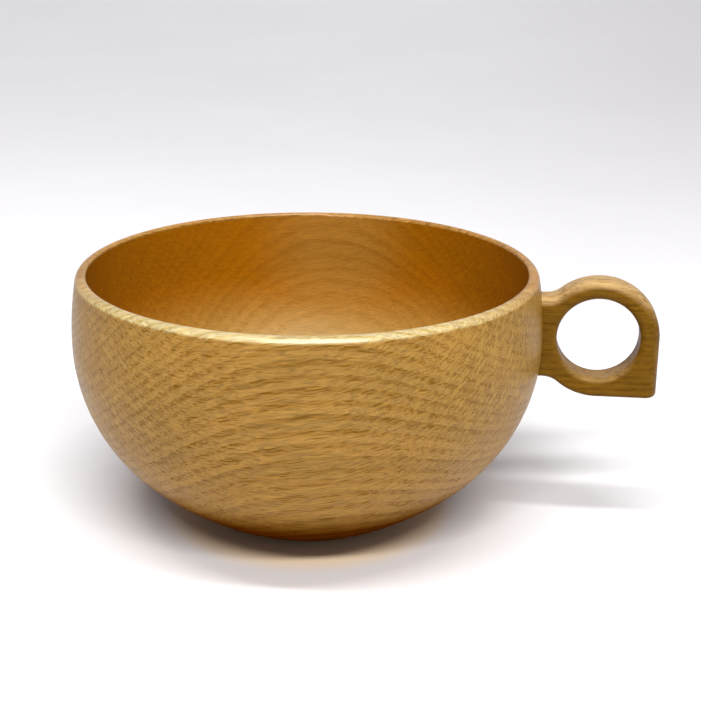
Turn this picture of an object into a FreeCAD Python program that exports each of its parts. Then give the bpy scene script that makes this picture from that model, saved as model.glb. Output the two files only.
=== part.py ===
"""Kuksa drinking cup: a turned oak bowl with a glued ring handle.

Frame: the origin is the centre of the flat foot, +Z points up along the bowl's axis of turning,
and the handle stands out along +X.  Sizes are millimetres.
"""
import FreeCAD, Part
import math
import os

import Sketcher

OUTPUT_FOLDER = "parts"
SHEET_NAME = "Dimensions"

DIMENSIONS = [
    # the bowl's outside
    ("bowl_radius", 62.0, "largest outside radius, at the belly"),
    ("bowl_height", 69.0, "foot to the top of the rim"),
    ("belly_height", 51.1, "height of the largest radius"),
    ("foot_radius", 22.4, "radius of the flat foot"),
    ("base_curve_radius", 94.7, "shallow curve that rises from the foot"),
    ("side_curve_radius", 48.3, "rounder curve from there to the belly"),
    ("upper_curve_radius", 88.9, "flat curve from the belly towards the rim"),
    ("shoulder_radius", 2.1, "rounding over the outside of the rim"),
    # the bowl's inside
    ("lip_radius", 0.85, "rounding on the inside of the rim"),
    ("wall_thickness", 4.2, "wall at the belly"),
    ("inner_side_radius", 42.0, "curve of the inside below the belly"),
    ("floor_thickness", 6.0, "wood under the middle of the inside"),
    # the ring handle
    ("ring_centre_reach", 76.2, "bowl axis to the middle of the finger hole"),
    ("ring_centre_height", 53.0, "foot to the middle of the finger hole"),
    ("ring_outer_radius", 15.7, "outside of the ring, and half the side of its square corner"),
    ("finger_hole_radius", 10.7, "wall of the finger hole"),
    ("handle_thickness", 9.0, "plate thickness, along Y"),
    ("neck_half_height", 10.7, "half the height of the neck that meets the bowl"),
    ("neck_fillet_radius", 6.2, "hollow curve from the neck into the ring"),
    ("neck_root_reach", 56.0, "how far in the plate runs before it is trimmed to the bowl"),
    ("crown_radius", 3.0, "soft rounding along the top of the neck, over the ring and down its outer side"),
    ("handle_edge_radius", 1.2, "rounding under the handle and round its square corner"),
    ("finger_hole_edge_radius", 1.8, "rounding of the finger hole's two edges"),
    # the glued joint
    ("dowel_radius", 1.5, "round pin"),
    ("dowel_hole_radius", 1.55, "its hole, with room for glue round it"),
    ("dowel_offset", 6.8, "pin above or below the middle of the finger hole"),
    ("dowel_seat_in_bowl", 59.2, "bottom of the bowl's blind hole, from the bowl axis"),
    ("dowel_seat_in_handle", 65.6, "bottom of the handle's blind hole, from the bowl axis"),
    ("dowel_glue_gap", 0.3, "room for glue past the pin's inner end"),
    ("dowel_chamfer", 0.3, "bevel on both ends of the pin"),
    ("hole_overrun", 8.0, "how far a blind hole's cut runs past the joint face"),
]

# Geometry ids and point positions that Sketcher uses for its own axes and points.
VERTICAL_AXIS = -2
ORIGIN = (-1, 1)
START = 1
END = 2
CENTRE = 3


def make_sheet(doc):
    """Write the driving dimensions to a spreadsheet and return them as a dictionary too."""
    sheet = doc.addObject("Spreadsheet::Sheet", SHEET_NAME)
    for row, (alias, value, meaning) in enumerate(DIMENSIONS, start=1):
        sheet.set("A%d" % row, alias)
        sheet.set("B%d" % row, str(value))
        sheet.set("C%d" % row, meaning)
        sheet.setAlias("B%d" % row, alias)
    doc.recompute()
    return {alias: float(sheet.get(alias)) for alias, _, _ in DIMENSIONS}


def cell(alias):
    """Expression that reads one cell of the sheet."""
    return "%s.%s" % (SHEET_NAME, alias)


def vec(x, y):
    """Point in a sketch's own plane."""
    return FreeCAD.Vector(x, y, 0)


def origin_plane(body, role):
    """One of a body's own origin planes, such as XZ_Plane."""
    return next(feature for feature in body.Origin.OriginFeatures if feature.Role == role)


def new_body(doc, name):
    """Empty body whose label names its file."""
    body = doc.addObject("PartDesign::Body", name)
    body.Label = name
    return body


def new_sketch(body, name, plane_role, offset=None):
    """Sketch on one of the body's origin planes, moved out along the plane's normal by an expression."""
    sketch = body.newObject("Sketcher::SketchObject", name)
    sketch.AttachmentSupport = (origin_plane(body, plane_role), [""])
    sketch.MapMode = "FlatFace"
    if offset is not None:
        sketch.setExpression("AttachmentOffset.Base.z", offset)
    return sketch


def bind(sketch, name, constraint, expression):
    """Add a dimension to a sketch and drive it by an expression."""
    index = sketch.addConstraint(constraint)
    sketch.renameConstraint(index, name)
    sketch.setExpression("Constraints." + name, expression)


def add_arc(sketch, centre, radius, start_angle, end_angle):
    """Arc that runs counter-clockwise between two angles in radians."""
    circle = Part.Circle(vec(*centre), FreeCAD.Vector(0, 0, 1), radius)
    return sketch.addGeometry(Part.ArcOfCircle(circle, start_angle, end_angle))


def tangent(sketch, first, first_point, second, second_point):
    """Join two curves end to end with one common tangent."""
    sketch.addConstraint(Sketcher.Constraint("Tangent", first, first_point, second, second_point))


def join(sketch, first, first_point, second, second_point):
    """Join two curves end to end at a corner."""
    sketch.addConstraint(Sketcher.Constraint("Coincident", first, first_point, second, second_point))


def direction(start, end):
    """Angle of the line from one point to another."""
    return math.atan2(end[1] - start[1], end[0] - start[0])


class BowlSection:
    """Centres of the tangent arcs that make the bowl's section, worked out from the sheet.

    They place each sketch's arcs close to where its constraints then hold them.
    """

    def __init__(self, size):
        self.size = size
        self.belly = (size["bowl_radius"], size["belly_height"])
        self.inner_belly = (size["bowl_radius"] - size["wall_thickness"], size["belly_height"])
        self.foot_edge = (size["foot_radius"], 0.0)
        self.side = (self.belly[0] - size["side_curve_radius"], self.belly[1])
        self.upper = (self.belly[0] - size["upper_curve_radius"], self.belly[1])
        self.base = self.base_centre()
        self.shoulder = self.shoulder_centre()
        self.lip = (self.shoulder[0], size["bowl_height"] - size["lip_radius"])
        self.inner_upper_radius = self.find_inner_upper_radius()
        self.inner_upper = (self.inner_belly[0] - self.inner_upper_radius, self.belly[1])
        self.inner_side = (self.inner_belly[0] - size["inner_side_radius"], self.belly[1])
        self.inner_floor_radius = self.find_inner_floor_radius()
        self.inner_floor = (0.0, size["floor_thickness"] + self.inner_floor_radius)

    def base_centre(self):
        """The base arc passes through the foot's edge and touches the side arc from outside."""
        to_foot = self.size["base_curve_radius"]
        to_side = to_foot - self.size["side_curve_radius"]
        gap = math.dist(self.foot_edge, self.side)
        along = (to_foot ** 2 - to_side ** 2 + gap ** 2) / (2 * gap)
        across = math.sqrt(to_foot ** 2 - along ** 2)
        angle = direction(self.foot_edge, self.side)
        x = self.foot_edge[0] + along * math.cos(angle) - across * math.sin(angle)
        y = self.foot_edge[1] + along * math.sin(angle) + across * math.cos(angle)
        return (x, y)

    def shoulder_centre(self):
        """The shoulder arc touches the upper arc and the level of the rim's top."""
        height = self.size["bowl_height"] - self.size["shoulder_radius"]
        reach = self.size["upper_curve_radius"] - self.size["shoulder_radius"]
        return (self.upper[0] + math.sqrt(reach ** 2 - (height - self.upper[1]) ** 2), height)

    def find_inner_upper_radius(self):
        """Radius of the arc that is upright at the inner belly and touches the lip arc."""
        inset = self.inner_belly[0] - self.lip[0]
        rise = self.lip[1] - self.inner_belly[1]
        lip = self.size["lip_radius"]
        return (rise ** 2 + inset ** 2 - lip ** 2) / (2 * (lip + inset))

    def find_inner_floor_radius(self):
        """Radius of the arc centred on the axis that touches the inner side arc and the floor's level."""
        across = self.inner_side[0]
        rise = self.inner_side[1] - self.size["floor_thickness"]
        side = self.size["inner_side_radius"]
        return (across ** 2 + rise ** 2 - side ** 2) / (2 * (rise - side))


def draw_outer_wall(sketch, section):
    """Arcs of the outside from the foot's edge to the top of the belly's curve; returns their ids."""
    size = section.size
    base_to_side = direction(section.base, section.side)
    foot_angle = direction(section.base, section.foot_edge)
    shoulder_angle = direction(section.upper, section.shoulder)
    base = add_arc(sketch, section.base, size["base_curve_radius"], foot_angle, base_to_side)
    side = add_arc(sketch, section.side, size["side_curve_radius"], base_to_side, 0.0)
    upper = add_arc(sketch, section.upper, size["upper_curve_radius"], 0.0, shoulder_angle)
    tangent(sketch, base, END, side, START)
    tangent(sketch, side, END, upper, START)
    sketch.addConstraint(Sketcher.Constraint("Horizontal", side, CENTRE, side, END))
    bind(sketch, "base_curve", Sketcher.Constraint("Radius", base, size["base_curve_radius"]),
         cell("base_curve_radius"))
    bind(sketch, "side_curve", Sketcher.Constraint("Radius", side, size["side_curve_radius"]),
         cell("side_curve_radius"))
    bind(sketch, "upper_curve", Sketcher.Constraint("Radius", upper, size["upper_curve_radius"]),
         cell("upper_curve_radius"))
    bind(sketch, "belly_radius", Sketcher.Constraint("DistanceX", *ORIGIN, side, END, section.belly[0]),
         cell("bowl_radius"))
    bind(sketch, "belly_height", Sketcher.Constraint("DistanceY", *ORIGIN, side, END, section.belly[1]),
         cell("belly_height"))
    return base, side, upper


def draw_foot(sketch, section, base):
    """Flat foot from the axis to the start of the base arc."""
    foot = sketch.addGeometry(Part.LineSegment(vec(0, 0), vec(*section.foot_edge)))
    join(sketch, foot, START, *ORIGIN)
    join(sketch, foot, END, base, START)
    sketch.addConstraint(Sketcher.Constraint("Horizontal", foot))
    bind(sketch, "foot_radius", Sketcher.Constraint("DistanceX", foot, START, foot, END, section.foot_edge[0]),
         cell("foot_radius"))
    return foot


def draw_rim(sketch, section, upper):
    """Shoulder and lip arcs that meet at the rim's top; returns the lip's id."""
    size = section.size
    shoulder = add_arc(sketch, section.shoulder, size["shoulder_radius"],
                       direction(section.upper, section.shoulder), math.pi / 2)
    lip = add_arc(sketch, section.lip, size["lip_radius"],
                  math.pi / 2, math.pi + direction(section.inner_upper, section.lip))
    tangent(sketch, upper, END, shoulder, START)
    tangent(sketch, shoulder, END, lip, START)
    sketch.addConstraint(Sketcher.Constraint("Vertical", shoulder, CENTRE, shoulder, END))
    bind(sketch, "shoulder", Sketcher.Constraint("Radius", shoulder, size["shoulder_radius"]),
         cell("shoulder_radius"))
    bind(sketch, "lip", Sketcher.Constraint("Radius", lip, size["lip_radius"]), cell("lip_radius"))
    bind(sketch, "height", Sketcher.Constraint("DistanceY", *ORIGIN, shoulder, END, size["bowl_height"]),
         cell("bowl_height"))
    return lip


def draw_inside(sketch, section, lip, side, foot):
    """Inside wall and floor arcs from the lip to the axis, and the axis edge down to the foot."""
    size = section.size
    floor_to_side = direction(section.inner_floor, section.inner_side)
    inner_upper = add_arc(sketch, section.inner_upper, section.inner_upper_radius,
                          0.0, direction(section.inner_upper, section.lip))
    inner_side = add_arc(sketch, section.inner_side, size["inner_side_radius"], floor_to_side, 0.0)
    inner_floor = add_arc(sketch, section.inner_floor, section.inner_floor_radius,
                          -math.pi / 2, floor_to_side)
    axis = sketch.addGeometry(Part.LineSegment(vec(0, size["floor_thickness"]), vec(0, 0)))
    tangent(sketch, lip, END, inner_upper, END)
    tangent(sketch, inner_upper, START, inner_side, END)
    tangent(sketch, inner_side, START, inner_floor, END)
    join(sketch, inner_floor, START, axis, START)
    join(sketch, axis, END, foot, START)
    sketch.addConstraint(Sketcher.Constraint("Vertical", axis))
    sketch.addConstraint(Sketcher.Constraint("PointOnObject", inner_floor, CENTRE, VERTICAL_AXIS))
    sketch.addConstraint(Sketcher.Constraint("Horizontal", inner_side, END, side, END))
    sketch.addConstraint(Sketcher.Constraint("Horizontal", inner_side, CENTRE, inner_side, END))
    bind(sketch, "inner_side", Sketcher.Constraint("Radius", inner_side, size["inner_side_radius"]),
         cell("inner_side_radius"))
    bind(sketch, "wall", Sketcher.Constraint("DistanceX", inner_side, END, side, END, size["wall_thickness"]),
         cell("wall_thickness"))
    bind(sketch, "floor", Sketcher.Constraint("DistanceY", axis, END, axis, START, size["floor_thickness"]),
         cell("floor_thickness"))


def turn(body, feature_type, name, sketch):
    """Turn a sketch once round the bowl's axis, to add or to remove wood."""
    feature = body.newObject(feature_type, name)
    feature.Profile = sketch
    feature.ReferenceAxis = (sketch, ["V_Axis"])
    feature.Angle = 360.0
    return feature


def make_bowl(doc, section):
    """Turned bowl with two blind dowel holes in its side."""
    body = new_body(doc, "bowl")
    sketch = new_sketch(body, "bowl_section", "XZ_Plane")
    base, side, upper = draw_outer_wall(sketch, section)
    foot = draw_foot(sketch, section, base)
    lip = draw_rim(sketch, section, upper)
    draw_inside(sketch, section, lip, side, foot)
    turn(body, "PartDesign::Revolution", "turned_bowl", sketch)
    drill_dowel_holes(doc, body, "bowl_dowel_holes", "dowel_seat_in_bowl", section.size, outwards=True)
    return body


def draw_ring(sketch, size):
    """Outline of the handle plate: neck, hollow curves into the ring, and the square lower corner."""
    x = size["ring_centre_reach"]
    z = size["ring_centre_height"]
    ring = size["ring_outer_radius"]
    neck = size["neck_half_height"]
    fillet = size["neck_fillet_radius"]
    root = size["neck_root_reach"]
    back = math.sqrt((ring + fillet) ** 2 - (neck + fillet) ** 2)
    turn_in = math.atan2(neck + fillet, back)
    upper_fillet_centre = (x - back, z + neck + fillet)
    lower_fillet_centre = (x - back, z - neck - fillet)

    neck_top = sketch.addGeometry(Part.LineSegment(vec(root, z + neck), vec(x - back, z + neck)))
    top_fillet = add_arc(sketch, upper_fillet_centre, fillet, -math.pi / 2, -turn_in)
    top_ring = add_arc(sketch, (x, z), ring, 0.0, math.pi - turn_in)
    right_edge = sketch.addGeometry(Part.LineSegment(vec(x + ring, z), vec(x + ring, z - ring)))
    bottom_edge = sketch.addGeometry(Part.LineSegment(vec(x + ring, z - ring), vec(x, z - ring)))
    low_ring = add_arc(sketch, (x, z), ring, math.pi + turn_in, 3 * math.pi / 2)
    low_fillet = add_arc(sketch, lower_fillet_centre, fillet, turn_in, math.pi / 2)
    neck_bottom = sketch.addGeometry(Part.LineSegment(vec(x - back, z - neck), vec(root, z - neck)))
    neck_root = sketch.addGeometry(Part.LineSegment(vec(root, z - neck), vec(root, z + neck)))
    hole = sketch.addGeometry(Part.Circle(vec(x, z), FreeCAD.Vector(0, 0, 1), size["finger_hole_radius"]))

    tangent(sketch, neck_top, END, top_fillet, START)
    tangent(sketch, top_fillet, END, top_ring, END)
    tangent(sketch, top_ring, START, right_edge, START)
    join(sketch, right_edge, END, bottom_edge, START)
    tangent(sketch, bottom_edge, END, low_ring, END)
    tangent(sketch, low_ring, START, low_fillet, START)
    tangent(sketch, low_fillet, END, neck_bottom, START)
    join(sketch, neck_bottom, END, neck_root, START)
    join(sketch, neck_root, END, neck_top, START)
    join(sketch, low_ring, CENTRE, top_ring, CENTRE)
    join(sketch, hole, CENTRE, top_ring, CENTRE)
    for line in (neck_top, bottom_edge, neck_bottom):
        sketch.addConstraint(Sketcher.Constraint("Horizontal", line))
    for line in (right_edge, neck_root):
        sketch.addConstraint(Sketcher.Constraint("Vertical", line))
    sketch.addConstraint(Sketcher.Constraint("Equal", top_fillet, low_fillet))
    sketch.addConstraint(Sketcher.Constraint("Equal", top_ring, low_ring))

    bind(sketch, "reach", Sketcher.Constraint("DistanceX", *ORIGIN, top_ring, CENTRE, x),
         cell("ring_centre_reach"))
    bind(sketch, "height", Sketcher.Constraint("DistanceY", *ORIGIN, top_ring, CENTRE, z),
         cell("ring_centre_height"))
    bind(sketch, "ring", Sketcher.Constraint("Radius", top_ring, ring), cell("ring_outer_radius"))
    bind(sketch, "finger_hole", Sketcher.Constraint("Radius", hole, size["finger_hole_radius"]),
         cell("finger_hole_radius"))
    bind(sketch, "hollow", Sketcher.Constraint("Radius", top_fillet, fillet), cell("neck_fillet_radius"))
    bind(sketch, "root", Sketcher.Constraint("DistanceX", *ORIGIN, neck_root, END, root),
         cell("neck_root_reach"))
    bind(sketch, "above", Sketcher.Constraint("DistanceY", top_ring, CENTRE, neck_top, START, neck),
         cell("neck_half_height"))
    bind(sketch, "below", Sketcher.Constraint("DistanceY", neck_bottom, END, top_ring, CENTRE, neck),
         cell("neck_half_height"))


def draw_bowl_outside(sketch, section):
    """Closed section of everything inside the bowl's outer wall, up to the end of the upper arc."""
    base, _, upper = draw_outer_wall(sketch, section)
    foot = draw_foot(sketch, section, base)
    size = section.size
    angle = direction(section.upper, section.shoulder)
    top = (section.upper[0] + size["upper_curve_radius"] * math.cos(angle),
           section.upper[1] + size["upper_curve_radius"] * math.sin(angle))
    lid = sketch.addGeometry(Part.LineSegment(vec(*top), vec(0, top[1])))
    axis = sketch.addGeometry(Part.LineSegment(vec(0, top[1]), vec(0, 0)))
    join(sketch, upper, END, lid, START)
    join(sketch, lid, END, axis, START)
    join(sketch, axis, END, foot, START)
    sketch.addConstraint(Sketcher.Constraint("Horizontal", lid))
    sketch.addConstraint(Sketcher.Constraint("Vertical", axis))
    bind(sketch, "lid_height", Sketcher.Constraint("DistanceY", axis, END, axis, START, top[1]),
         "%s - %s" % (cell("bowl_height"), cell("shoulder_radius")))


def crown_edges(shape, size):
    """Names of the face edges along the neck's top, over the ring and down the straight outer side."""
    return [name for name, edge in face_edges(shape, size)
            if edge.BoundBox.ZMax > size["ring_centre_height"] - size["handle_edge_radius"]]


def underside_edges(shape, size):
    """Names of the face edges under the handle and of all the edges round its square corner."""
    middle = size["ring_centre_height"]
    names = [name for name, edge in face_edges(shape, size) if edge.BoundBox.ZMax < middle]
    for index, edge in enumerate(shape.Edges, start=1):
        bounds = edge.BoundBox
        at_corner = (bounds.XMin > size["ring_centre_reach"] + size["finger_hole_radius"]
                     and bounds.ZMax < middle - size["finger_hole_radius"])
        if at_corner and bounds.YLength > size["handle_edge_radius"]:
            names.append("Edge%d" % index)
    return names


def face_edges(shape, size):
    """Name and shape of each outline edge of the plate's two faces, but not those of the root."""
    found = []
    for index, edge in enumerate(shape.Edges, start=1):
        bounds = edge.BoundBox
        at_root = bounds.XMax < size["neck_root_reach"] + size["handle_edge_radius"]
        in_face = bounds.YLength < size["handle_edge_radius"] and abs(bounds.YMax) > size["dowel_radius"]
        if in_face and not at_root and not edge.isClosed():
            found.append(("Edge%d" % index, edge))
    return found


def finger_hole_edges(shape, _):
    """Names of the two circles where the finger hole meets the plate's faces."""
    return ["Edge%d" % index for index, edge in enumerate(shape.Edges, start=1) if edge.isClosed()]


def round_edges(body, before, name, choose, size, radius_name):
    """Round the chosen edges of the feature before, by one named radius."""
    rounding = body.newObject("PartDesign::Fillet", name)
    rounding.Base = (before, choose(before.Shape, size))
    rounding.setExpression("Radius", cell(radius_name))
    body.Document.recompute()
    return rounding


def make_ring_handle(doc, section):
    """Handle plate, rounded, trimmed to the bowl's wall and drilled for the dowels."""
    size = section.size
    body = new_body(doc, "ring_handle")
    sketch = new_sketch(body, "handle_outline", "XZ_Plane")
    draw_ring(sketch, size)
    plate = body.newObject("PartDesign::Pad", "handle_plate")
    plate.Profile = sketch
    plate.SideType = "Symmetric"
    plate.setExpression("Length", cell("handle_thickness"))
    doc.recompute()

    crown = round_edges(body, plate, "crown", crown_edges, size, "crown_radius")
    underside = round_edges(body, crown, "underside", underside_edges, size, "handle_edge_radius")
    round_edges(body, underside, "finger_hole_rounding", finger_hole_edges, size, "finger_hole_edge_radius")

    seat = new_sketch(body, "bowl_outside", "XZ_Plane")
    draw_bowl_outside(seat, section)
    turn(body, "PartDesign::Groove", "seat_on_bowl", seat)
    drill_dowel_holes(doc, body, "handle_dowel_holes", "dowel_seat_in_handle", size, outwards=False)
    return body


def draw_dowel_circles(sketch, size, radius_name, sides):
    """Circles of the dowels in a plane square to X; sides holds +1 for the upper one, -1 for the lower."""
    for side in sides:
        height = size["ring_centre_height"] + side * size["dowel_offset"]
        circle = Part.Circle(vec(0, height), FreeCAD.Vector(0, 0, 1), size[radius_name])
        index = sketch.addGeometry(circle)
        suffix = "upper" if side > 0 else "lower"
        sign = "+" if side > 0 else "-"
        sketch.addConstraint(Sketcher.Constraint("PointOnObject", index, CENTRE, VERTICAL_AXIS))
        bind(sketch, "radius_" + suffix, Sketcher.Constraint("Radius", index, size[radius_name]),
             cell(radius_name))
        bind(sketch, "height_" + suffix, Sketcher.Constraint("DistanceY", *ORIGIN, index, CENTRE, height),
             "%s %s %s" % (cell("ring_centre_height"), sign, cell("dowel_offset")))


def drill_dowel_holes(doc, body, name, seat_name, size, outwards):
    """Two flat-bottomed blind holes that open at the joint face, bottoms at the named reach."""
    sketch = new_sketch(body, name + "_sketch", "YZ_Plane", cell(seat_name))
    draw_dowel_circles(sketch, size, "dowel_hole_radius", (1, -1))
    doc.recompute()
    before = body.Shape.Volume
    holes = body.newObject("PartDesign::Pocket", name)
    holes.Profile = sketch
    holes.Reversed = outwards
    holes.setExpression("Length", cell("hole_overrun"))
    doc.recompute()
    if body.Shape.Volume > before - 1.0:
        raise RuntimeError(name + " removed no wood")


def make_dowel(doc, name, side, size):
    """Round pin along X with bevelled ends; it bottoms in the handle and leaves a glue gap in the bowl."""
    body = new_body(doc, name)
    start = "%s + %s" % (cell("dowel_seat_in_bowl"), cell("dowel_glue_gap"))
    sketch = new_sketch(body, name + "_circle", "YZ_Plane", start)
    draw_dowel_circles(sketch, size, "dowel_radius", (side,))
    pin = body.newObject("PartDesign::Pad", name + "_pin")
    pin.Profile = sketch
    pin.setExpression("Length", "%s - %s" % (cell("dowel_seat_in_handle"), start.replace(" + ", " - ")))
    doc.recompute()
    ends = ["Edge%d" % index for index, edge in enumerate(pin.Shape.Edges, start=1)
            if edge.BoundBox.XLength < size["dowel_chamfer"]]
    bevel = body.newObject("PartDesign::Chamfer", name + "_bevel")
    bevel.Base = (pin, ends)
    bevel.setExpression("Size", cell("dowel_chamfer"))
    return body


def check_document(doc, bodies):
    """Stop before writing if any object failed or any sub-part isn't one valid solid."""
    for item in doc.Objects:
        if "Invalid" in item.State or "Error" in item.State:
            raise RuntimeError("%s failed: %s" % (item.Name, item.State))
        if item.TypeId == "Sketcher::SketchObject" and not item.FullyConstrained:
            raise RuntimeError("%s isn't fully constrained" % item.Name)
    for body in bodies:
        shape = body.Shape
        if shape.isNull() or not shape.isValid() or len(shape.Solids) != 1:
            raise RuntimeError("%s isn't one valid solid" % body.Label)


def write_parts(bodies):
    """Write each sub-part to its own STEP file, named after its label."""
    os.makedirs(OUTPUT_FOLDER, exist_ok=True)
    for body in bodies:
        body.Shape.exportStep(os.path.join(OUTPUT_FOLDER, body.Label + ".step"))
        print("%-12s volume %9.1f cubic mm" % (body.Label, body.Shape.Volume))


def main():
    doc = FreeCAD.newDocument("kuksa_cup")
    size = make_sheet(doc)
    section = BowlSection(size)
    bodies = [
        make_bowl(doc, section),
        make_ring_handle(doc, section),
        make_dowel(doc, "upper_dowel", 1, size),
        make_dowel(doc, "lower_dowel", -1, size),
    ]
    doc.recompute()
    check_document(doc, bodies)
    write_parts(bodies)


main()
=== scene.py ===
"""Looks of the kuksa cup: oiled oak bowl and ring handle on a pale floor under soft studio light.

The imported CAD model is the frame.  Everything is in metres unless a name says otherwise.
"""
import math
from collections import namedtuple

import bpy
from mathutils import Matrix, Vector


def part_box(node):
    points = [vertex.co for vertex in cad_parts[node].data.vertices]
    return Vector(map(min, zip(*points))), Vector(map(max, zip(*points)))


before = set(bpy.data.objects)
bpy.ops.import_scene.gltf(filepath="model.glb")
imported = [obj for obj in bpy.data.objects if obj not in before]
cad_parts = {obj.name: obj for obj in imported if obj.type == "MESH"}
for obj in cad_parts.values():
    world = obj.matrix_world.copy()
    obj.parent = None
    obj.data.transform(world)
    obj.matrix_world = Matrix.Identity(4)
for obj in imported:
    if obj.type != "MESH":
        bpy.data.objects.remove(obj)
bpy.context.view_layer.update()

MM = 0.001
WHITE = (1.0, 1.0, 1.0, 1.0)
_, BOWL_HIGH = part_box("bowl")
BOWL_RADIUS = BOWL_HIGH.y
BOWL_HEIGHT = BOWL_HIGH.z
HANDLE_LOW, HANDLE_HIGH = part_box("ring_handle")
HANDLE_MIDDLE = (HANDLE_LOW.z + HANDLE_HIGH.z) / 2.0


# ---------------------------------------------------------------- node graph helper

class Graph:
    """Short calls that add and join nodes in one node tree."""

    def __init__(self, tree):
        self.tree = tree

    def node(self, kind, **settings):
        made = self.tree.nodes.new(kind)
        for key, value in settings.items():
            setattr(made, key, value)
        return made

    def put(self, socket, value):
        """Set an input to a plain value, or join another node's output to it."""
        if isinstance(value, bpy.types.NodeSocket):
            self.tree.links.new(value, socket)
        elif value is not None:
            socket.default_value = value

    def math(self, operation, a, b=None, clamp=False):
        made = self.node("ShaderNodeMath", operation=operation, use_clamp=clamp)
        for socket, value in zip(made.inputs, (a, b)):
            self.put(socket, value)
        return made.outputs[0]

    def vector(self, operation, a, b=None):
        made = self.node("ShaderNodeVectorMath", operation=operation)
        for socket, value in zip(made.inputs, (a, b)):
            self.put(socket, value)
        return made.outputs["Value" if operation in ("DOT_PRODUCT", "LENGTH") else "Vector"]

    def combine(self, x, y, z):
        made = self.node("ShaderNodeCombineXYZ")
        for socket, value in zip(made.inputs, (x, y, z)):
            self.put(socket, value)
        return made.outputs[0]

    def separate(self, vector):
        made = self.node("ShaderNodeSeparateXYZ")
        self.put(made.inputs[0], vector)
        return made.outputs

    def noise(self, vector, scale=1.0, detail=2.0, roughness=0.5):
        """Noise from 0 to 1 around 0.5."""
        made = self.node("ShaderNodeTexNoise", noise_dimensions="3D")
        self.put(made.inputs["Vector"], vector)
        self.put(made.inputs["Scale"], scale)
        self.put(made.inputs["Detail"], detail)
        self.put(made.inputs["Roughness"], roughness)
        return made.outputs["Fac"]

    def cells(self, vector, pitch):
        """Distance to the nearest point of a grid of jittered cells, and that cell's luck in X, Y and Z."""
        made = self.node("ShaderNodeTexVoronoi", feature="F1", voronoi_dimensions="3D")
        self.put(made.inputs["Vector"], self.vector("MULTIPLY", vector, tuple(1.0 / step for step in pitch)))
        self.put(made.inputs["Scale"], 1.0)
        self.put(made.inputs["Randomness"], 1.0)
        return made.outputs["Distance"], self.separate(made.outputs["Color"])

    def ramp(self, value, low, high, low_out, high_out, curve="LINEAR"):
        """Value taken from low..high to low_out..high_out, and held at both ends."""
        made = self.node("ShaderNodeMapRange", clamp=True, interpolation_type=curve)
        for socket, number in zip(made.inputs, (value, low, high, low_out, high_out)):
            self.put(socket, number)
        return made.outputs[0]

    def rise(self, value, low, high, top=1.0):
        """Smooth step from 0 to top."""
        return self.ramp(value, low, high, 0.0, top, "SMOOTHSTEP")

    def fall(self, value, low, high, top=1.0):
        """Smooth step from top to 0."""
        return self.ramp(value, low, high, top, 0.0, "SMOOTHSTEP")

    def between(self, mask, at_zero, at_one):
        """Straight line from at_zero, where the mask is 0, to at_one, where it is 1."""
        return self.ramp(mask, 0.0, 1.0, at_zero, at_one)

    def swing(self, noise, reach):
        """Noise turned into an amount from -reach to reach."""
        return self.between(noise, -reach, reach)

    def mix(self, mask, a, b, blend="MIX"):
        made = self.node("ShaderNodeMix", data_type="RGBA", blend_type=blend)
        self.put(made.inputs[0], mask)
        self.put(made.inputs[6], a)
        self.put(made.inputs[7], b)
        return made.outputs[2]

    def times(self, colour, tone):
        return self.mix(1.0, colour, tone, "MULTIPLY")

    def tint(self, mask, colour, tone):
        """Colour multiplied by a tone where the mask is 1."""
        return self.mix(mask, colour, self.times(colour, tone))

    def surface(self, inputs):
        """End the graph in a Principled shader with these inputs."""
        shader = self.node("ShaderNodeBsdfPrincipled")
        for name, value in inputs.items():
            self.put(shader.inputs[name], value)
        out = self.node("ShaderNodeOutputMaterial")
        self.put(out.inputs["Surface"], shader.outputs[0])


def new_material(name):
    """Empty material, and the graph to fill."""
    material = bpy.data.materials.new(name)
    material.use_nodes = True
    material.node_tree.nodes.clear()
    return material, Graph(material.node_tree)


# ---------------------------------------------------------------- oak, cut from one log

# repeats of each pattern per millimetre in the log: along the grain and twice across it
WANDER_RATE = (0.012, 0.05, 0.05)
RIPPLE_RATE = (0.045, 0.45, 0.45)
WEAVE_RATE = (0.13, 0.33, 0.33)
FIBRE_RATE = (0.11, 2.4, 2.4)
PATCH_RATE = (0.02, 0.06, 0.06)
RING_WIDTH_RATE = 0.17
RING_WIDTH_SEED = (3.3, 7.1)
WEAVE_SEED = (31.0, 17.0, 53.0)

# early wood, as parts of a ring's width, and how far a ring's edge may shift, in rings
EARLY_RISE = (0.0, 0.10)
EARLY_FALL = (0.28, 0.62)
RING_SHIFT = 0.45

# vessels: half widths and soft edges in cells, and the luck that a cell needs to hold one
VESSEL_SIZE = (0.30, 0.52)
VESSEL_EDGE = (0.05, 0.45)
VESSEL_IN_EARLY = (0.15, 0.6)
STRAY_LUCK = (0.62, 0.80)
STRAY_DEPTH = 0.55
LATE_EDGE = (0.18, 0.42)
LATE_LUCK = (0.40, 0.80)

# how squarely the surface cuts the grain, and what is left of the vessels on full end grain
END_GRAIN = (0.25, 0.95)
END_LATE = 0.15
END_DARK = 0.42

RAY_EDGE = (0.47, 0.62)
PATCH_EDGE = (0.3, 0.7)
FIBRE_EDGE = (0.30, 0.70)

# depths of the parts of the relief, and its full height
DARK_PIT = -1.0
LATE_PIT = -0.45
EARLY_DIP = -0.15
FIBRE_RIDGE = 0.70
RELIEF = 0.12 * MM

ROUGHNESS_SPREAD = 0.04
PIT_ROUGHNESS = 0.22
PIT_SPECULAR = 0.15
COAT_IOR = 1.6


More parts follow.
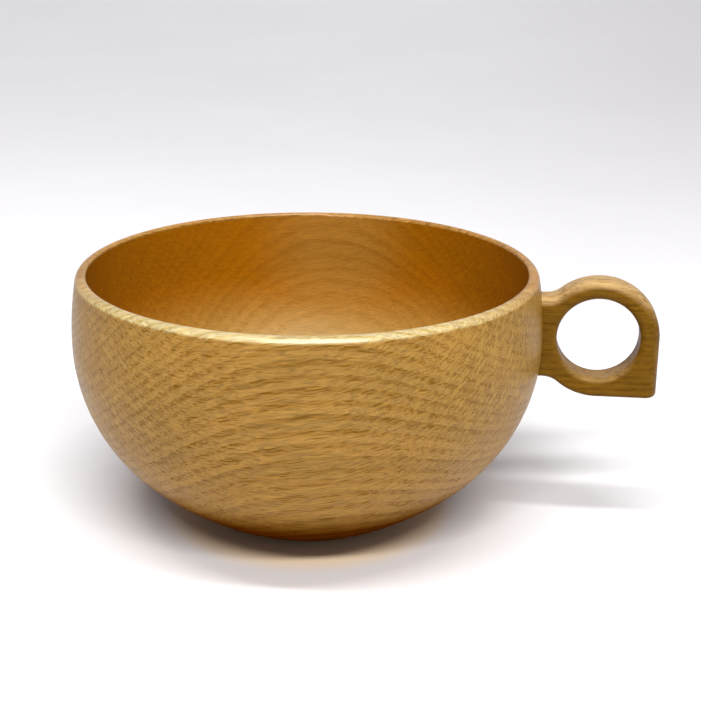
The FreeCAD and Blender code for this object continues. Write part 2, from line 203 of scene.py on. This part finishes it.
def log_space(g, place, pith_mm, heading_deg, climb_deg):
    """Millimetres in the log, with X along the grain and the pith at Y = Z = 0."""
    log = g.node("ShaderNodeMapping", vector_type="TEXTURE")
    g.put(log.inputs["Vector"], place.outputs["Object"])
    g.put(log.inputs["Location"], Vector(pith_mm) * MM)
    g.put(log.inputs["Rotation"], (0.0, -math.radians(climb_deg), math.radians(heading_deg)))
    g.put(log.inputs["Scale"], (MM, MM, MM))
    return log.outputs["Vector"]


def growth_rings(g, raw, ring_mm, look):
    """Distance and angle from the pith, early-wood mask, and each ring's luck; no two rings are alike."""
    wander = g.noise(g.vector("MULTIPLY", raw, WANDER_RATE))
    ripple = g.noise(g.vector("MULTIPLY", raw, RIPPLE_RATE))
    _, y, z = g.separate(raw)
    radius = g.math("SQRT", g.math("ADD", g.math("MULTIPLY", y, y), g.math("MULTIPLY", z, z)))
    radius = g.math("ADD", radius, g.swing(wander, look["wander_mm"]))
    radius = g.math("ADD", radius, g.swing(ripple, look["ripple_mm"]))
    angle = g.math("ARCTAN2", z, y)

    uneven = g.noise(g.combine(g.math("MULTIPLY", radius, RING_WIDTH_RATE), *RING_WIDTH_SEED), detail=1.0)
    count = g.math("ADD", g.math("DIVIDE", radius, ring_mm), g.swing(uneven, RING_SHIFT))
    count = g.math("SUBTRACT", count, look["ring_start"])
    phase = g.math("FRACT", count)
    early = g.math("MULTIPLY", g.rise(phase, *EARLY_RISE), g.fall(phase, *EARLY_FALL))
    luck = g.node("ShaderNodeTexWhiteNoise", noise_dimensions="1D")
    g.put(luck.inputs["W"], g.math("FLOOR", count))
    return radius, angle, early, luck.outputs["Value"]


def weave(g, raw, reach_mm):
    """Log space in which the fibres weave, so the vessels run in slightly slanting strokes."""
    up = g.noise(g.vector("MULTIPLY", raw, WEAVE_RATE), detail=1.0)
    back = g.noise(g.vector("MULTIPLY", g.vector("ADD", raw, WEAVE_SEED), WEAVE_RATE), detail=1.0)
    return g.vector("ADD", raw, g.combine(0.0, g.swing(back, reach_mm), g.swing(up, reach_mm)))


def vessel_masks(g, woven, early, look):
    """Long thin tubes along the grain: wide dark ones crowd into the early wood, fine ones are all over."""
    distance, (luck_x, luck_y, _) = g.cells(woven, look["vessel_pitch_mm"])
    size = g.between(luck_x, *VESSEL_SIZE)
    tubes = g.rise(g.math("SUBTRACT", 1.0, g.math("DIVIDE", distance, size), clamp=True), *VESSEL_EDGE)
    crowded = g.math("MULTIPLY", tubes, g.rise(early, *VESSEL_IN_EARLY))
    stray = g.math("MULTIPLY", tubes, g.rise(luck_y, *STRAY_LUCK))
    dark = g.math("MAXIMUM", crowded, g.math("MULTIPLY", stray, STRAY_DEPTH))
    late_distance, (late_luck, _, _) = g.cells(woven, look["late_pitch_mm"])
    late = g.math("MULTIPLY", g.fall(late_distance, *LATE_EDGE), g.rise(late_luck, *LATE_LUCK))
    return dark, late


def ray_mask(g, raw, radius, angle, look):
    """Thin upright sheets that fan out from the pith."""
    arc = g.math("MULTIPLY", angle, look["ray_radius_mm"])
    ways = (g.separate(raw)[0], radius, arc)
    space = g.combine(*(g.math("MULTIPLY", way, 1.0 / step) for way, step in zip(ways, look["ray_mm"])))
    return g.rise(g.noise(space, detail=1.0, roughness=0.4), *RAY_EDGE)


def end_grain_mask(g, place, heading_deg, climb_deg):
    """1 where the surface cuts squarely across the grain."""
    heading = math.radians(heading_deg)
    climb = math.radians(climb_deg)
    grain = (math.cos(heading) * math.cos(climb), math.sin(heading) * math.cos(climb), math.sin(climb))
    return g.rise(g.math("ABSOLUTE", g.vector("DOT_PRODUCT", place.outputs["Normal"], grain)), *END_GRAIN)


# ---------------------------------------------------------------- zones of the bowl and the handle

# from and to: heights, the distance from the middle plane, and the place from front to back
INSIDE_TOP = (BOWL_HEIGHT - 1.2 * MM, BOWL_HEIGHT - 0.5 * MM)
RIM_BOTTOM = (BOWL_HEIGHT - 2.2 * MM, BOWL_HEIGHT - 1.2 * MM)
LOW_INSIDE = (15.0 * MM, 52.0 * MM)
DEEP_INSIDE = (14.0 * MM, 32.0 * MM)
MIDDLE_SHEEN_STRIP = (5.0 * MM, 28.0 * MM)
BELLY = (14.0 * MM, 46.0 * MM)
FOOT_SHADE = (9.0 * MM, 24.0 * MM)
RIM_FRONT = (-54.0 * MM, -4.0 * MM)
CROWN = (HANDLE_MIDDLE - 4.0 * MM, HANDLE_MIDDLE + 4.0 * MM)

# from and to, of the surface normal's upward part or of how far it leans inwards
INWARD_LEAN = (0.1, 0.5)
RIM_TILT = (0.15, 0.55)
BELLY_TILT = (0.1, 0.3)
FOOT_TILT = (-0.1, 0.2)
CROWN_TILT = (0.15, 0.85)

MIDDLE_SHEEN_STRENGTH = 0.20
LOWER_CROWN = 0.35
BACK_RIM_GLOSS = 0.25

Zones = namedtuple("Zones", "inside low deep rim front belly foot")


def bowl_zones(g, place):
    """Masks: the inside, its low and deepest parts, the rim's rounding, the front, the outside's lower
    half, and the shaded underside round the foot."""
    x, y, z = g.separate(place.outputs["Object"])
    normal_x, normal_y, normal_z = g.separate(place.outputs["Normal"])
    reach = g.vector("LENGTH", g.combine(x, y, 0.0))
    outward = g.math("ADD", g.math("MULTIPLY", x, normal_x), g.math("MULTIPLY", y, normal_y))
    outward = g.math("DIVIDE", outward, g.math("MAXIMUM", reach, MM))
    inward = g.math("SUBTRACT", normal_z, g.math("MULTIPLY", outward, 2.0))
    # strip down the middle of the low inside, where a painted sheen lies
    middle = g.fall(g.math("ABSOLUTE", x), *MIDDLE_SHEEN_STRIP, top=MIDDLE_SHEEN_STRENGTH)
    return Zones(
        inside=g.math("MULTIPLY", g.rise(inward, *INWARD_LEAN), g.fall(z, *INSIDE_TOP)),
        low=g.math("MAXIMUM", g.fall(z, *LOW_INSIDE), middle),
        deep=g.fall(z, *DEEP_INSIDE),
        # the rim's rounding where it faces up, and the front: a painted highlight lies on the rim, strongest
        # at the front
        rim=g.math("MULTIPLY", g.rise(z, *RIM_BOTTOM), g.rise(normal_z, *RIM_TILT)),
        front=g.fall(y, *RIM_FRONT),
        # the lower outside, which faces the floor and gets a painted warm shade
        belly=g.math("MULTIPLY", g.fall(z, *BELLY), g.fall(normal_z, *BELLY_TILT)),
        foot=g.math("MULTIPLY", g.fall(z, *FOOT_SHADE), g.fall(normal_z, *FOOT_TILT)),
    )


def crown_mask(g, place):
    """Where the handle's painted highlight goes: 1 on its upper half where it faces up, less on the lower
    half.
    """
    upward = g.rise(g.separate(place.outputs["Normal"])[2], *CROWN_TILT)
    upper = g.ramp(g.separate(place.outputs["Object"])[2], *CROWN, LOWER_CROWN, 1.0, "SMOOTHSTEP")
    return g.math("MULTIPLY", upward, upper)


def zone_colour(g, zones, colour, tones):
    """The oak's colour with painted light and shade laid over it, zone by zone: an orange painted bounce
    on the inside walls, a painted sheen low inside, painted light at the bottom, a painted highlight on
    the rim, a painted warm shade on the lower outside and painted shade round the foot.
    """
    # painted light inside: an orange bounce on the walls, a sheen low down and in the middle, light at the
    # bottom
    inside_painted_light = g.mix(zones.deep, g.mix(zones.low, tones["wall"], tones["low"]), tones["deep"])
    colour = g.tint(zones.inside, colour, inside_painted_light)
    # painted highlight on the rim, strongest at the front
    colour = g.tint(zones.rim, colour, g.mix(zones.front, tones["back_rim_highlight"], tones["front_rim_highlight"]))
    # painted warm shade on the lower outside
    colour = g.tint(zones.belly, colour, tones["belly"])
    # painted shade on the underside round the foot
    return g.tint(zones.foot, colour, tones["foot"])


def zone_gloss(g, zones, look):
    """Coat weight of the rim, most at the front, and of the low inside; and the coat's roughness."""
    rim = g.math("MULTIPLY", zones.rim, g.between(zones.front, BACK_RIM_GLOSS, look["rim_gloss"]))
    low = g.math("MULTIPLY", g.math("MULTIPLY", zones.inside, zones.low), look["inside_gloss"])
    roughness = g.between(zones.inside, look["gloss_roughness"], look["inside_gloss_roughness"])
    return {"Coat Weight": g.math("MAXIMUM", rim, low), "Coat Roughness": roughness, "Coat IOR": COAT_IOR}


# ---------------------------------------------------------------- the three woods

def oak_material(name, pith_mm, heading_deg, climb_deg, ring_mm, look):
    """Ring-porous oak.

    pith_mm is a point on the log's middle line, heading_deg turns that line about Z from +X and
    climb_deg lifts its far end.  A look with tones is the bowl's, and has the bowl's zones of painted light
    and shade.
    """
    material, g = new_material(name)
    place = g.node("ShaderNodeTexCoord")
    raw = log_space(g, place, pith_mm, heading_deg, climb_deg)
    radius, angle, early, ring_luck = growth_rings(g, raw, ring_mm, look)
    woven = weave(g, raw, look["weave_mm"])
    dark, late = vessel_masks(g, woven, early, look)
    rays = ray_mask(g, raw, radius, angle, look)
    fibre = g.noise(g.vector("MULTIPLY", woven, FIBRE_RATE), detail=3.0, roughness=0.65)
    patch = g.noise(g.vector("MULTIPLY", raw, PATCH_RATE))
    end_grain = end_grain_mask(g, place, heading_deg, climb_deg)

    # the figure is calmer inside the bowl, and its pores are filled there and on the rim
    zones = bowl_zones(g, place) if "tones" in look else None
    calm = veil = 1.0
    if zones:
        calm = g.between(zones.inside, 1.0, look["inside_calm"])
        veil = g.between(g.math("MAXIMUM", zones.inside, zones.rim), 1.0, look["inside_pores"])
    late = g.math("MULTIPLY", g.math("MULTIPLY", late, g.between(end_grain, 1.0, END_LATE)), veil)
    dark = g.math("MULTIPLY", g.math("MULTIPLY", dark, g.between(end_grain, 1.0, END_DARK)), veil)

    # colour: early wood, end grain, patches, a painted highlight on the handle's upward faces, then lightness
    # that varies from ring to ring and fibre to fibre
    early_tint = g.math("MULTIPLY", g.math("MULTIPLY", early, look["early_depth"]), calm)
    colour = g.mix(early_tint, look["late"], look["early"])
    colour = g.mix(g.math("MULTIPLY", end_grain, look["end_depth"]), colour, look["end"])
    colour = g.mix(g.rise(patch, *PATCH_EDGE, top=look["patch_depth"]), colour, look["patch"])
    if "crown" in look:
        # painted highlight on the handle's upward faces
        colour = g.mix(crown_mask(g, place), colour, look["crown"])
    ring_contrast, fibre_contrast = look["ring_contrast"], look["fibre_contrast"]
    light = g.math("MULTIPLY", g.between(ring_luck, 1.0 - ring_contrast, 1.0 + ring_contrast),
                   g.ramp(fibre, *FIBRE_EDGE, 1.0 - fibre_contrast, 1.0 + fibre_contrast))
    light = g.math("ADD", g.math("MULTIPLY", g.math("SUBTRACT", light, 1.0), calm), 1.0)
    colour = g.times(colour, g.combine(light, light, light))

    # rays and vessels over it
    ray_strength = g.math("MULTIPLY", g.between(end_grain, *look["ray_depth"]), calm)
    colour = g.mix(g.math("MULTIPLY", rays, ray_strength), colour, look["ray"])
    colour = g.mix(g.math("MULTIPLY", late, look["late_vessel_depth"]), colour, look["vessel"])
    colour = g.mix(g.math("MULTIPLY", dark, look["vessel_depth"]), colour, look["vessel"])

    # relief
    height = g.math("MULTIPLY", dark, DARK_PIT)
    for part, depth in ((late, LATE_PIT), (early, EARLY_DIP), (fibre, FIBRE_RIDGE)):
        height = g.math("ADD", height, g.math("MULTIPLY", part, depth))
    bump = g.node("ShaderNodeBump")
    g.put(bump.inputs["Strength"], g.math("MULTIPLY", calm, look["bump"]))
    g.put(bump.inputs["Distance"], RELIEF)
    g.put(bump.inputs["Height"], height)

    # gloss: pores are rougher and duller
    roughness = g.ramp(patch, *PATCH_EDGE, look["roughness"] - ROUGHNESS_SPREAD,
                       look["roughness"] + ROUGHNESS_SPREAD, "SMOOTHSTEP")
    roughness = g.math("ADD", roughness, g.math("MULTIPLY", dark, PIT_ROUGHNESS))
    specular = g.between(g.math("MAXIMUM", dark, late), look["specular"], PIT_SPECULAR * look["specular"])
    inputs = {"Specular Tint": look["sheen"], "Normal": bump.outputs["Normal"]}
    if zones:
        # painted light and shade of the bowl's zones
        colour = zone_colour(g, zones, colour, look["tones"])
        roughness = g.math("ADD", roughness, g.math("MULTIPLY", zones.foot, look["foot_roughness"]))
        specular = g.math("MULTIPLY", g.between(zones.foot, 1.0, look["foot_specular"]), specular)
        specular = g.math("MULTIPLY", g.between(zones.inside, 1.0, look["inside_specular"]), specular)
        inputs["IOR"] = g.between(zones.foot, look["ior"], look["foot_ior"])
        inputs.update(zone_gloss(g, zones, look))
    inputs.update({"Base Color": colour, "Roughness": roughness, "Specular IOR Level": specular})
    g.surface(inputs)
    return material


OAK = {
    "late": (0.300, 0.160, 0.031, 1.0), "early": (0.218, 0.096, 0.005, 1.0), "early_depth": 0.74,
    "end": (0.262, 0.130, 0.014, 1.0), "end_depth": 0.5,
    "patch": (0.330, 0.165, 0.029, 1.0), "patch_depth": 0.5,
    "ray": (0.400, 0.225, 0.040, 1.0), "ray_depth": (0.25, 0.95),
    "ray_mm": (4.0, 2.6, 0.60), "ray_radius_mm": 72.0,
    "vessel": (0.162, 0.070, 0.000, 1.0), "vessel_depth": 0.88, "late_vessel_depth": 0.62,
    "vessel_pitch_mm": (10.0, 1.10, 0.36), "late_pitch_mm": (9.0, 1.20, 0.38),
    "ring_start": 31.857, "wander_mm": 0.9, "ripple_mm": 0.25, "weave_mm": 1.0,
    "ring_contrast": 0.09, "fibre_contrast": 0.37, "bump": 0.6,
    "roughness": 0.40, "specular": 0.28, "sheen": (1.0, 0.93, 0.82, 1.0),
}
BOWL_LOOK = dict(
    OAK,
    tones={
        # painted light inside: orange bounce on the walls, a sheen low down, light at the bottom
        "wall": (1.14, 0.77, 0.04, 1.0), "low": (1.55, 2.14, 3.5, 1.0), "deep": (1.42, 1.50, 1.8, 1.0),
        # painted highlight on the rim, strongest at the front
        "front_rim_highlight": (1.85, 2.75, 7.3, 1.0), "back_rim_highlight": (1.42, 1.36, 1.9, 1.0),
        # painted warm shade on the lower outside, and painted shade round the foot
        "belly": (1.00, 0.92, 0.25, 1.0), "foot": (0.27, 0.13, 0.05, 1.0),
    },
    inside_calm=0.42, inside_pores=0.35, inside_specular=0.5,
    rim_gloss=0.88, gloss_roughness=0.28, inside_gloss=0.62, inside_gloss_roughness=0.5,
    foot_roughness=0.4, foot_specular=0.1, ior=1.5, foot_ior=1.05,
)
HANDLE_LOOK = dict(
    OAK,
    late=(0.130, 0.056, 0.002, 1.0), early=(0.100, 0.038, 0.001, 1.0), end=(0.120, 0.050, 0.002, 1.0),
    patch=(0.148, 0.067, 0.003, 1.0), ray=(0.180, 0.088, 0.006, 1.0), vessel=(0.070, 0.026, 0.001, 1.0),
    # crown: painted highlight on the handle's upward faces
    crown=(0.520, 0.330, 0.140, 1.0), sheen=(1.0, 0.75, 0.28, 1.0), bump=0.3, vessel_depth=0.35,
    late_vessel_depth=0.25, ring_contrast=0.06, fibre_contrast=0.24, specular=0.25,
)
DOWEL_LOOK = dict(
    OAK,
    late=(0.520, 0.340, 0.150, 1.0), early=(0.460, 0.290, 0.120, 1.0), vessel=(0.300, 0.170, 0.070, 1.0),
    vessel_depth=0.3, roughness=0.7,
)


def dress(name, material):
    """Give a CAD node its finished material."""
    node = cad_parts[name]
    if not node.material_slots:
        node.data.materials.append(material)
    for slot in node.material_slots:
        slot.link = "OBJECT"
        slot.material = material


bowl_oak = oak_material("bowl_oak", pith_mm=(0.8, -9.2, 95.1), heading_deg=5.1, climb_deg=7.35,
                        ring_mm=2.09, look=BOWL_LOOK)
handle_oak = oak_material("handle_oak", pith_mm=(76.0, 30.0, -62.0), heading_deg=0.0, climb_deg=1.0,
                          ring_mm=1.7, look=HANDLE_LOOK)
dowel_wood = oak_material("dowel_wood", pith_mm=(60.0, 25.0, 20.0), heading_deg=0.0, climb_deg=0.0,
                          ring_mm=1.9, look=DOWEL_LOOK)
dress("bowl", bowl_oak)
dress("ring_handle", handle_oak)
dress("upper_dowel", dowel_wood)
dress("lower_dowel", dowel_wood)


# ---------------------------------------------------------------- floor and backdrop

PAPER_DARK = (0.860, 0.850, 0.860, 1.0)
PAPER_LIGHT = (0.880, 0.870, 0.885, 1.0)
PAPER_FAR_SHADE = (0.89, 0.89, 0.90, 1.0)
PAPER_FAR = (0.15, 0.55)
CORNER_SHADE = (0.66, 0.645, 0.66, 1.0)
CORNER_ACROSS = (-0.1, 0.4)
CORNER_BACK = (0.0, 0.5)
WIDE_PAINTED_BOUNCE = (1.02, 0.99, 0.965, 1.0)
WIDE_REACH = (42.0 * MM, 64.0 * MM)
NEAR_PAINTED_BOUNCE = (1.2, 0.98, 0.68, 1.0)
NEAR_REACH = (33.0 * MM, 42.0 * MM)


def sweep_material():
    """Pale matt paper with the faintest mottle, painted shade far off and in the far right corner, and a
    painted warm bounce from the oak round the foot.
    """
    material, g = new_material("studio_paper")
    place = g.node("ShaderNodeTexCoord").outputs["Object"]
    mottle = g.noise(place, scale=9.0, detail=3.0)
    colour = g.mix(g.rise(mottle, 0.3, 0.7), PAPER_DARK, PAPER_LIGHT)
    across, back, _ = g.separate(place)
    # painted shade, dimmer far off
    colour = g.tint(g.rise(back, *PAPER_FAR), colour, PAPER_FAR_SHADE)
    # painted shade in the far right corner
    corner = g.math("MULTIPLY", g.rise(across, *CORNER_ACROSS), g.rise(back, *CORNER_BACK))
    colour = g.mix(corner, colour, CORNER_SHADE)
    reach = g.vector("LENGTH", g.combine(across, back, 0.0))
    # painted warm bounce light from the oak round the foot
    for painted_bounce, edge in ((WIDE_PAINTED_BOUNCE, WIDE_REACH), (NEAR_PAINTED_BOUNCE, NEAR_REACH)):
        colour = g.times(colour, g.mix(g.fall(reach, *edge), WHITE, painted_bounce))
    g.surface({"Base Color": colour, "Roughness": 0.85, "Specular IOR Level": 0.2})
    return material


def make_sweep():
    """Sheet of paper that lies flat under the cup and curves up into an upright backdrop."""
    half_width = 6.0
    front_edge = -9.0
    bend_start = 0.7
    bend_radius = 2.2
    top = 4.0
    bend_steps = 48
    profile = [(front_edge, 0.0)]
    for step in range(bend_steps + 1):
        angle = math.pi / 2 * step / bend_steps
        profile.append((bend_start + bend_radius * math.sin(angle), bend_radius * (1.0 - math.cos(angle))))
    profile.append((bend_start + bend_radius, top))
    points = [(x, y, z) for y, z in profile for x in (-half_width, half_width)]
    faces = [(2 * row, 2 * row + 1, 2 * row + 3, 2 * row + 2) for row in range(len(profile) - 1)]
    mesh = bpy.data.meshes.new("studio_sweep")
    mesh.from_pydata(points, [], faces)
    mesh.polygons.foreach_set("use_smooth", [True] * len(faces))
    mesh.materials.append(sweep_material())
    sweep = bpy.data.objects.new("studio_sweep", mesh)
    bpy.context.scene.collection.objects.link(sweep)


make_sweep()


# ---------------------------------------------------------------- light

LAMP_TARGET = (0.0, 0.0, 0.03)
AIR_COLOUR = (0.97, 0.96, 1.0, 1.0)
AIR_BASE = 0.202
AIR_FRONT = 0.17
AIR_SIDE = 0.13


def area_light(name, size, power, place):
    """Soft rectangular lamp that faces the cup."""
    data = bpy.data.lights.new(name, "AREA")
    data.shape = "RECTANGLE"
    data.size, data.size_y = size
    data.energy = power
    lamp = bpy.data.objects.new(name, data)
    lamp.location = place
    lamp.rotation_euler = (Vector(LAMP_TARGET) - Vector(place)).to_track_quat("-Z", "Y").to_euler()
    bpy.context.scene.collection.objects.link(lamp)


def make_air():
    """World light that is brightest straight ahead of the cup and a little dimmer on its left."""
    world = bpy.data.worlds.new("studio_air")
    world.use_nodes = True
    g = Graph(world.node_tree)
    x, y, _ = g.separate(g.node("ShaderNodeTexCoord").outputs["Generated"])
    front = g.math("MAXIMUM", g.math("MULTIPLY", y, -1.0), 0.0)
    front = g.math("MULTIPLY", g.math("MULTIPLY", front, front), AIR_FRONT)
    side = g.math("MULTIPLY", x, AIR_SIDE)
    air = world.node_tree.nodes["Background"]
    g.put(air.inputs["Color"], AIR_COLOUR)
    g.put(air.inputs["Strength"], g.math("ADD", g.math("ADD", front, side), AIR_BASE))
    bpy.context.scene.world = world


area_light("upper_tube", size=(1.8, 0.18), power=39.5, place=(0.0, -0.74, 2.4))
area_light("front_tube", size=(2.2, 0.26), power=73.0, place=(0.45, -1.98, 2.2))
make_air()
bpy.context.scene.view_settings.view_transform = "Standard"


# ---------------------------------------------------------------- camera

CAMERA_DISTANCE = 5.9248 * BOWL_RADIUS
CAMERA_HEIGHT = 2.7798 * BOWL_RADIUS
CAMERA_AZIMUTH_DEG = 8.030
CAMERA_PAN_DEG = 1.756
CAMERA_TILT_DEG = 19.072
CAMERA_ROLL_DEG = 0.370
SENSOR_MM = 36.0
LENS_MM = 74.47


def make_camera():
    """Camera in front of the cup, a little to the handle's side, looking down on it."""
    azimuth = math.radians(CAMERA_AZIMUTH_DEG)
    pan = azimuth - math.radians(CAMERA_PAN_DEG)
    tilt = math.radians(CAMERA_TILT_DEG)
    roll = math.radians(CAMERA_ROLL_DEG)
    ahead = Vector((-math.sin(pan) * math.cos(tilt), math.cos(pan) * math.cos(tilt), -math.sin(tilt)))
    right = Vector((math.cos(pan), math.sin(pan), 0.0))
    up = right.cross(ahead)
    rolled_right = math.cos(roll) * right + math.sin(roll) * up
    rolled_up = math.cos(roll) * up - math.sin(roll) * right
    place = Vector((CAMERA_DISTANCE * math.sin(azimuth), -CAMERA_DISTANCE * math.cos(azimuth), CAMERA_HEIGHT))
    turn = Matrix((rolled_right, rolled_up, -ahead)).transposed()
    data = bpy.data.cameras.new("camera")
    data.sensor_width = SENSOR_MM
    data.lens = LENS_MM
    camera = bpy.data.objects.new("camera", data)
    camera.matrix_world = Matrix.Translation(place) @ turn.to_4x4()
    bpy.context.scene.collection.objects.link(camera)
    bpy.context.scene.camera = camera


make_camera()
